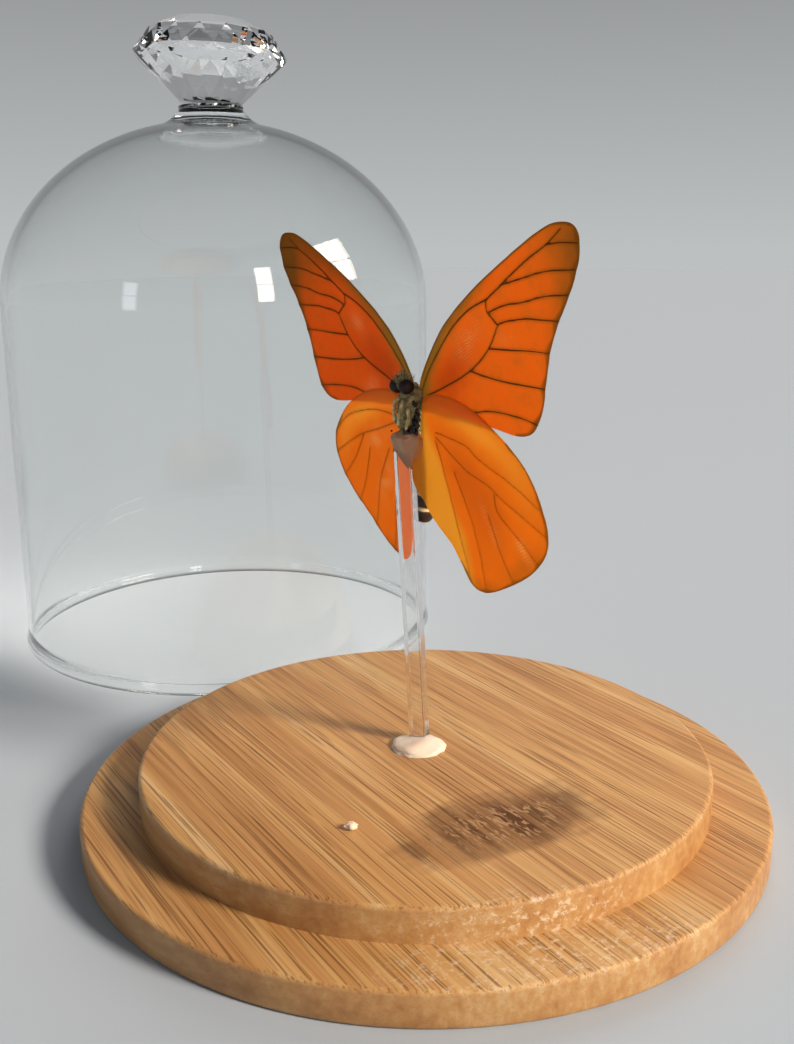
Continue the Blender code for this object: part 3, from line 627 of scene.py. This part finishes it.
def wingMaterial(name, tones, glow, seed):
    # Butterfly wing, a dried membrane under rows of pigment scales: matt, and light glows through it
    made, tree, _ = startMaterial(name)
    reads = {key: addNode(tree, "Attribute", attribute_name=key).outputs["Fac"] for key in wingFields}
    shifted = addNode(tree, "Mapping", {"Vector": addNode(tree, "UVMap", uv_map="wing"),
                                        "Location": (seed, seed, 0)})
    mottle = addNode(tree, "TexNoise", {"Vector": shifted, "Scale": 14.0, "Detail": 5.0, "Roughness": 0.65})
    scales = addNode(tree, "TexNoise", {"Vector": shifted, "Scale": 190.0, "Detail": 2.0})  # 0.2 mm apart
    soft = addNode(tree, "Math", {0: mottle, 1: 0.5}, operation="SUBTRACT")
    # Dusky border, wider where each vein meets it
    veinNear = addNode(tree, "Math", {0: reads["toVein"], 1: 4.0}, operation="DIVIDE")
    veinHalo = addNode(tree, "ValToRGB", {"Fac": veinNear}, ((0.0, 1.0), (0.45, 0.25)))
    borderReach = addNode(tree, "Math", {0: veinHalo, 1: tones["border"], 2: 0.25},
                          operation="MULTIPLY_ADD")
    inward = addNode(tree, "Math", {0: soft, 1: 0.9, 2: reads["toMargin"]}, operation="MULTIPLY_ADD")
    nearMargin = addNode(tree, "Math", {0: inward, 1: borderReach}, operation="DIVIDE")
    borderMask = addNode(tree, "ValToRGB", {"Fac": nearMargin}, ((0.25, 1.0), (1.0, 0.0)))
    costaMask = addNode(tree, "ValToRGB", {"Fac": reads["toCosta"]}, ((0.12, 1.0), (0.45, 0.0)))
    veinMask = addNode(tree, "ValToRGB", {"Fac": reads["toVein"]}, ((0.09, 1.0), (0.17, 0.32), (0.50, 0.0)))
    # Scuffs where scales have rubbed off, as short pale ribs across the wing, and a few long scratches
    ribTurn = addNode(tree, "Mapping", {"Vector": shifted, "Rotation": (0, 0, 1.1)})
    ribs = addNode(tree, "TexWave", {"Vector": ribTurn, "Scale": 28.0, "Distortion": 5.0, "Detail": 3.0,
                                     "Detail Scale": 2.0}, wave_type="BANDS").outputs["Fac"]
    ribPart = addNode(tree, "ValToRGB", {"Fac": ribs}, ((0.45, 0.15), (0.85, 1.0)))
    mottlePart = addNode(tree, "ValToRGB", {"Fac": mottle}, ((0.40, 0.2), (0.60, 1.0)))
    scratchTurn = addNode(tree, "Mapping", {"Vector": shifted, "Rotation": (0, 0, 0.7),
                                            "Scale": (0.5, 4.0, 1)})
    scratch = addNode(tree, "TexNoise", {"Vector": scratchTurn, "Scale": 9.0, "Detail": 6.0,
                                         "Roughness": 0.8, "Distortion": 2.5})
    scratchPart = addNode(tree, "ValToRGB", {"Fac": scratch}, ((0.66, 0.0), (0.74, 0.5)))
    scuffPart = addNode(tree, "Math", {0: reads["scuff"], 1: ribPart}, operation="MULTIPLY")
    # Each mask, its strength and what is added to it, then the tone it lays over those before it
    color = addNode(tree, "Mix", {0: mottle, 6: tones["orange"], 7: tones["light"]}, data_type="RGBA")
    # The fold tone is the inner amber, painted lighter as painted light where the folded gutter is in shade
    # The lap tone is painted light, lifting the strip that the forewing overlaps and shades
    for mask, strength, added, tone in (
            (soft, 0.5, reads["red"], "red"), (soft, 0.6, reads["amber"], "amber"),
            (soft, 0.5, reads["brown"], "brown"), (reads["inner"], 0.85, 0.0, "foldAmberPaintedLighter"),
            (reads["lapped"], 0.85, 0.0, "lapPaintedLight"), (borderMask, 0.75, 0.0, "edge"),
            (costaMask, tones["costa"], 0.0, "edge"), (veinMask, tones["veins"], 0.0, "vein"),
            (scuffPart, mottlePart, scratchPart, "scuff")):
        share = addNode(tree, "Math", {0: mask, 1: strength, 2: added}, operation="MULTIPLY_ADD",
                        use_clamp=True)
        color = addNode(tree, "Mix", {0: share, 6: color, 7: tones[tone]}, data_type="RGBA")
    relief = addNode(tree, "Math", {0: ribs, 1: 0.5, 2: scales}, operation="MULTIPLY_ADD")
    bump = addNode(tree, "Bump", {"Height": relief, "Strength": 0.25, "Distance": 0.00006})
    front = addNode(tree, "BsdfPrincipled", {"Base Color": color, "Normal": bump, "Roughness": 0.62,
                                             "Specular IOR Level": 0.12})
    # Light crosses the wing only once on its way through, so what comes out is paler
    lit = addNode(tree, "Mix", {0: 0.46, 6: color, 7: "FFD070"}, data_type="RGBA")
    through = addNode(tree, "BsdfTranslucent", {"Color": lit})
    both = addNode(tree, "MixShader", {0: glow, 1: front, 2: through})
    addNode(tree, "OutputMaterial", {"Surface": both})
    return made


foreTones = {"orange": "FA7010", "light": "FF8E1E", "red": "D63A02", "amber": "8F7636", "brown": "99561A",
             "edge": "3A1D0C", "vein": "3A1B0A", "veins": 0.9, "costa": 0.85, "border": 1.0,
             "scuff": "FFC48C", "lapPaintedLight": "E88A2A", "foldAmberPaintedLighter": "8F7636"}
# fold in the hindwing tones is the inner amber, painted lighter as painted light against the gutter's shade
# lap in the hindwing tones is painted light for the strip under the forewing
hindTones = {"orange": "FB8410", "light": "FFA028", "red": "E0640A", "amber": "FFC24E", "brown": "B0601C",
             "edge": "5A2F12", "vein": "7A3A10", "veins": 0.38, "costa": 0.25, "border": 0.55,
             "scuff": "FFE0B4", "lapPaintedLight": "FFA23C", "foldAmberPaintedLighter": "F6CC58"}
foreLeftTones = dict(foreTones, orange="E44A05", light="F06610", red="CE2E02", brown="5E3510", border=1.6)
hindLeftTones = dict(hindTones, orange="EE7A10", light="F8941C", veins=0.6, border=0.7)

foreRoot = bodyPoint(0.0, -3.2, 66.0)
hindRoot = bodyPoint(0.0, -2.2, 64.0)
foreWing = {
    "margin": (8, 20), "veinRadius": 0.075, "gutter": False, "width": 1.0, "camber": 0.25,
    "red": ((1.0, (8.5, 6.0), (7.0, 3.2), 38), (0.1, (13, 3.5), (8, 3), 5)),
    "amber": ((1.4, (0.8, 3.6), (2.6, 3.6), 0), (1.1, (4.2, 8.8), (6.0, 1.5), 48),
              (0.7, (11.5, 16.0), (7.0, 1.1), 38)),
    "brown": ((0.7, (36.5, 25.5), (7.5, 4.6), 10), (0.6, (35.0, 18.0), (3.4, 9.0), -10)),
    "scuff": ((0.9, (13.0, 11.0), (3.4, 2.0), 42), (0.5, (21.5, 12.0), (2.0, 1.0), 0)),
}
hindWing = {
    "margin": (5, 17), "veinRadius": 0.05, "camber": -0.2,
    "red": ((0.75, (13.0, -7.5), (8.0, 3.6), -45), (0.35, (17.0, -15.0), (4, 6), 0)),
    "amber": ((0.95, (15.0, 0.2), (9.5, 1.9), -22), (0.5, (24.0, -6.0), (4.0, 2.0), -50)),
    "brown": ((0.45, (25.0, -18.5), (6.0, 2.2), 38), (0.45, (16.0, -23.5), (5, 1.5), 0)),
    "scuff": ((0.8, (24.5, -15.5), (2.2, 0.7), -50), (0.5, (17.5, -13), (3.0, 0.8), -60)),
}
buildWing("forewingRight", ["forewing_right"], foreOutline, foreVeins,
          dict(foreWing, side=1, seed=1, width=1.012, place=(foreRoot, -56.8, -1.9)),
          wingMaterial("dried forewing, scaled, right", foreTones, 0.60, 0.0))
buildWing("forewingLeft", ["forewing_left"], foreOutline, foreVeins,
          dict(foreWing, side=-1, seed=7, place=(foreRoot, -55.2, -6.9),
               brown=((0.95, (36.0, 25.0), (11.0, 6.5), 10), (0.6, (34.0, 17.0), (3.0, 9.0), -10),
                      (0.5, (22.0, 22.5), (12.0, 1.6), 30)),
               scuff=((0.8, (14.5, 12.5), (2.2, 1.4), 42), (0.9, (11.5, 2.2), (2.8, 1.6), 0))),
          wingMaterial("dried forewing, scaled, left", foreLeftTones, 0.54, 3.0))
buildWing("hindwingRight", ["hindwing_right"], hindOutline[:-5] + gutterEdge, hindVeins,
          dict(hindWing, side=1, seed=13, gutter=True, width=1.03, place=(hindRoot, -55.3, -2.5),
               foldLine=((13.5, -22.9), (11.8, -16.1), (9.4, -12.4), (8.0, -9.3), (6.2, -5.4), (3.7, -1.6),
                         (3.0, 1.2)),
               lapLine=((-2.0, 1.2), (3.5, 1.3), (7.5, 1.7), (11.3, 1.8), (16.1, 1.6), (21.0, 0.6))),
          wingMaterial("dried hindwing, scaled, right", hindTones, 0.65, 6.0))
buildWing("hindwingLeft", ["hindwing_left"], flatHindOutline, flatHindVeins,
          dict(hindWing, side=-1, seed=17, gutter=False, width=1.0, place=(hindRoot, -58.0, -8.5),
               lapLine=((0.0, 1.9), (5.9, 1.4), (11.9, 0.8), (17.2, 0.7), (21.0, 0.5)),
               red=(), margin=(5, 16),
               scuff=((0.7, (12.0, -4.5), (3.5, 1.5), -30), (0.8, (11.0, -11.5), (3.5, 1.6), -50))),
          wingMaterial("dried hindwing, scaled, left", hindLeftTones, 0.58, 9.0))


print("body")


def fuzz(work, faces, length, droop, share, seed):
    # Draws each chosen face out into a tapering hair in three pulls, bending towards the droop
    draw = random.Random(seed)
    faces = [f for f in faces if draw.random() < share]
    aims = {}
    for part in range(3):
        grown = bmesh.ops.extrude_discrete_faces(work, faces=faces)["faces"]
        work.normal_update()
        for number, face in enumerate(grown):
            middle = face.calc_center_median()
            if part == 0:
                wild = Vector((draw.uniform(-1, 1), draw.uniform(-1, 1), draw.uniform(-1, 1))) * 0.35
                aims[number] = (face.normal.copy() + wild, length * draw.uniform(0.6, 1.3))
            aim, reach = aims[number]
            heading = (aim + droop * (0.35 + 0.5 * part)).normalized()
            shrink = (0.256, 0.7, 0.25)[part]       # how much thinner each pull leaves it
            for vert in face.verts:
                vert.co = middle + (vert.co - middle) * shrink + heading * reach / 3
        faces = grown


def bodyFurMaterial(name, root, tip):
    # Insect hair, fine chitin bristles: matt, olive at the root and paler at the tip
    made, tree, space = startMaterial(name)
    tuft = addNode(tree, "TexNoise", {"Vector": space, "Scale": 1100.0, "Detail": 3.0})
    tone = addNode(tree, "ValToRGB", {"Fac": tuft}, ((0.38, root), (0.62, tip)))
    hair = addNode(tree, "BsdfPrincipled", {"Base Color": tone, "Roughness": 0.75, "Sheen Weight": 0.3,
                                            "Sheen Roughness": 0.5})
    addNode(tree, "OutputMaterial", {"Surface": hair})
    return made


furOlive = bodyFurMaterial("insect hair, olive", "6C6230", "BDB27A")
furPale = bodyFurMaterial("insect hair, straw", "5E5630", "B8AE7C")


def bodyBall(half, detail, place):
    work = bmesh.new()
    bmesh.ops.create_icosphere(work, subdivisions=detail, radius=1.0)
    bmesh.ops.scale(work, verts=work.verts, vec=[h * mm for h in half])
    bmesh.ops.transform(work, matrix=bodyMatrix(*place), verts=work.verts)
    return work


thorax = {"half": (2.1, 2.2, 4.2), "place": (0.0, -1.9, 65.9), "hair": 0.75}
work = bodyBall(thorax["half"], 4, thorax["place"])
work.normal_update()
fuzz(work, work.faces[:], thorax["hair"] * mm, Vector((0, 0, -1.6)), 0.5, 21)
finishPiece(work, "thoraxFur", furOlive, 60, ["thorax"])

head = {"half": (1.1, 1.2, 1.3), "place": (0.0, -0.6, 70.0), "hair": 1.1}
work = bodyBall(head["half"], 3, head["place"])
work.normal_update()
fuzz(work, [f for f in work.faces if f.calc_center_median().z > 70.2 * mm], head["hair"] * mm,
     Vector((0, 0, 0.9)), 0.6, 22)
finishPiece(work, "headFur", furPale, 60, ["head"])


def eyeMaterial():
    # Compound eye, dried: dark maroon and dull, with a fine honeycomb of facets
    made, tree, space = startMaterial("compound eye, dried")
    facets = addNode(tree, "TexVoronoi", {"Vector": space, "Scale": 9000.0})        # facets 0.1 mm across
    blotch = addNode(tree, "TexNoise", {"Vector": space, "Scale": 900.0, "Detail": 3.0})
    tone = addNode(tree, "ValToRGB", {"Fac": blotch}, ((0.35, "0B0303"), (0.70, "2A0709")))
    bump = addNode(tree, "Bump", {"Height": facets, "Strength": 0.5, "Distance": 0.00004})
    shell = addNode(tree, "BsdfPrincipled", {"Base Color": tone, "Normal": bump, "Roughness": 0.55,
                                             "IOR": 1.4})
    addNode(tree, "OutputMaterial", {"Surface": shell})
    return made


eyeShell = eyeMaterial()
for side, name, node in ((-1, "eyeLeft", "eye_left"), (1, "eyeRight", "eye_right")):
    work = bodyBall((1.15, 1.3, 1.15), 4, (side * 1.2, -0.25, 69.6))
    for vert in work.verts:
        vert.co += vert.normal * 0.02 * mm * noise.noise(vert.co * 9000)
    finishPiece(work, name, eyeShell, 60, [node])


def abdomenMaterial():
    # Abdomen, dried chitin with scales: dark brown above, with cream lines at the joints of its rings
    made, tree, space = startMaterial("abdomen, ringed and dried")
    ring = addNode(tree, "Attribute", attribute_name="ring").outputs["Fac"]
    blotch = addNode(tree, "TexNoise", {"Vector": space, "Scale": 800.0, "Detail": 4.0})
    waver = addNode(tree, "Math", {0: blotch, 1: 0.5}, operation="SUBTRACT")
    edge = addNode(tree, "Math", {0: waver, 1: 0.5, 2: ring}, operation="MULTIPLY_ADD")
    tone = addNode(tree, "ValToRGB", {"Fac": edge}, ((0.30, "2B160B"), (0.62, "5A381C"), (0.74, "E8CF9A")))
    shell = addNode(tree, "BsdfPrincipled", {"Base Color": tone, "Roughness": 0.5, "Sheen Weight": 0.1})
    addNode(tree, "OutputMaterial", {"Surface": shell})
    return made


abdomen = {
    "route": ((0.0, -3.0, 61.6), (0.0, -3.5, 59.6), (0.0, -3.9, 57.4), (0.0, -4.1, 55.2),
              (-0.1, -4.0, 52.6), (-0.2, -3.7, 50.2), (-0.3, -3.4, 48.6), (-0.3, -3.2, 47.5)),
    "spacing": 0.18,            # between the stations along it
    "radii": (0.7, 1.15, 1.3, 1.4, 1.55, 1.7, 1.62, 1.55), "rings": 6, "tip": 1.6,
}
spacing = abdomen["spacing"]
spine = smoothLine([bodyPoint(*p) for p in abdomen["route"]], spacing)
girths = smoothLine([(r, i * 2.0) for i, r in enumerate(abdomen["radii"])], spacing)
profileAt = [girths[round(i * (len(girths) - 1) / (len(spine) - 1))][0] for i in range(len(spine))]
beads = [abs(math.sin(math.pi * abdomen["rings"] * i / (len(spine) - 1))) ** 0.5 for i in range(len(spine))]
ends = [min(1.0, spacing * (len(spine) - 1 - i) / abdomen["tip"]) for i in range(len(spine))]
rounded = [max(0.06, math.sqrt(1 - (1 - e) ** 2)) for e in ends]
made = tubeMesh(spine, [r * (0.90 + 0.10 * b) * c for r, b, c in zip(profileAt, beads, rounded)], 5)
work = bmesh.new()
work.from_mesh(made)
bpy.data.meshes.remove(made)
ringLayer = work.verts.layers.float.new("ring")
for vert in work.verts:
    near = min(range(len(spine)), key=lambda i: (vert.co - spine[i] * mm).length)
    vert[ringLayer] = 1.0 - beads[near] ** 2
finishPiece(work, "abdomenRings", abdomenMaterial(), 60, ["abdomen"])

legs = {
    "leg_1": ((1.2, 0.55, 67.6), (0.9, 0.95, 66.0), (0.3, 0.95, 64.4), (-0.2, 0.6, 63.2)),
    "leg_2": ((0.5, 0.75, 67.9), (-0.4, 0.95, 67.2), (-1.2, 0.6, 66.6)),
    "leg_3": ((-1.5, 0.3, 66.7), (-1.8, 0.3, 65.3), (-1.7, 0.1, 63.6)),
    "leg_4": ((1.8, 0.1, 66.4), (2.0, 0.2, 64.8), (1.4, 0.5, 63.0)),
}
legMaterial = bodyFurMaterial("insect leg, dried", "958C55", "DDD3A4")
for number, (node, stops) in enumerate(legs.items(), 1):
    joints = [bodyPoint(*stop) for stop in stops]
    route, girth = [], []
    for low, high in zip(joints, joints[1:]):
        for k in range(6):
            route.append(low.lerp(high, k / 6))
            girth.append(0.20 + 0.11 * math.sin(math.pi * (k + 0.5) / 6))       # swells in its middle
    route.append(joints[-1])
    girth.append(0.12)
    made = tubeMesh(route, girth, 3)
    work = bmesh.new()
    work.from_mesh(made)
    bpy.data.meshes.remove(made)
    finishPiece(work, "leg%d" % number, legMaterial, 60, [node])

hazyGlue = glueMaterial("hot-melt glue, thin and hazy", "DDBB98", "B98F68", 0.3)
work = bmesh.new()
bmesh.ops.create_icosphere(work, subdivisions=5, radius=1.0)
glueTop = {"half": (2.6, 1.9), "rise": 1.7, "fall": 4.6, "middle": (-2.5, 2.1, 61.3)}
for vert in work.verts:
    spot = vert.co.copy()
    drop = max(0.0, -spot.z)
    waist = 1 - 0.62 * drop ** 1.3
    swell = 1 + 0.14 * noise.noise(spot * 2.1) + 0.05 * noise.noise(spot * 7)
    vert.co.x = spot.x * glueTop["half"][0] * waist * swell + 0.5 * drop
    vert.co.y = spot.y * glueTop["half"][1] * waist * swell - 0.9 * drop
    vert.co.z = spot.z * (glueTop["rise"] if spot.z > 0 else glueTop["fall"])
bmesh.ops.scale(work, verts=work.verts, vec=(mm, mm, mm))
bmesh.ops.translate(work, verts=work.verts, vec=Vector(glueTop["middle"]) * mm)
finishPiece(work, "topGlue", hazyGlue, 70, ["glue_top"])


def driedBitsMaterial():
    # Broken mouthparts and dried remains on the breast: near black, with a few glossy faces
    made, tree, space = startMaterial("dried remains, black")
    grit = addNode(tree, "TexNoise", {"Vector": space, "Scale": 1500.0, "Detail": 4.0})
    tone = addNode(tree, "ValToRGB", {"Fac": grit}, ((0.4, "0A0706"), (0.75, "2E2018")))
    rough = addNode(tree, "ValToRGB", {"Fac": grit}, ((0.4, 0.25), (0.7, 0.8)))
    crust = addNode(tree, "BsdfPrincipled", {"Base Color": tone, "Roughness": rough, "IOR": 1.5})
    addNode(tree, "OutputMaterial", {"Surface": crust})
    return made


bits = {                        # each lump's place on the body and its radius
    "lumps": ((2.1, -1.0, 67.0, 0.5), (2.35, -1.2, 66.1, 0.4), (2.4, -1.0, 65.2, 0.6),
              (2.2, -0.8, 64.4, 0.5), (2.4, -0.9, 63.7, 0.6), (1.9, -0.3, 63.1, 0.55),
              (1.2, 0.4, 62.8, 0.5), (2.3, -0.8, 62.9, 0.6), (-1.8, 0.9, 62.6, 0.22)),
}
work = bmesh.new()
for number, (sideways, forward, height, size) in enumerate(bits["lumps"]):
    lump = bmesh.ops.create_icosphere(work, subdivisions=3, radius=size * mm)["verts"]
    for vert in lump:
        vert.co *= 1 + 0.75 * noise.noise(vert.co * 2200 + Vector((number, 0, 0)))
        vert.co.y *= 0.6
    bmesh.ops.transform(work, matrix=bodyMatrix(sideways, forward, height), verts=lump)
finishPiece(work, "driedBits", driedBitsMaterial(), 50)

print("done")
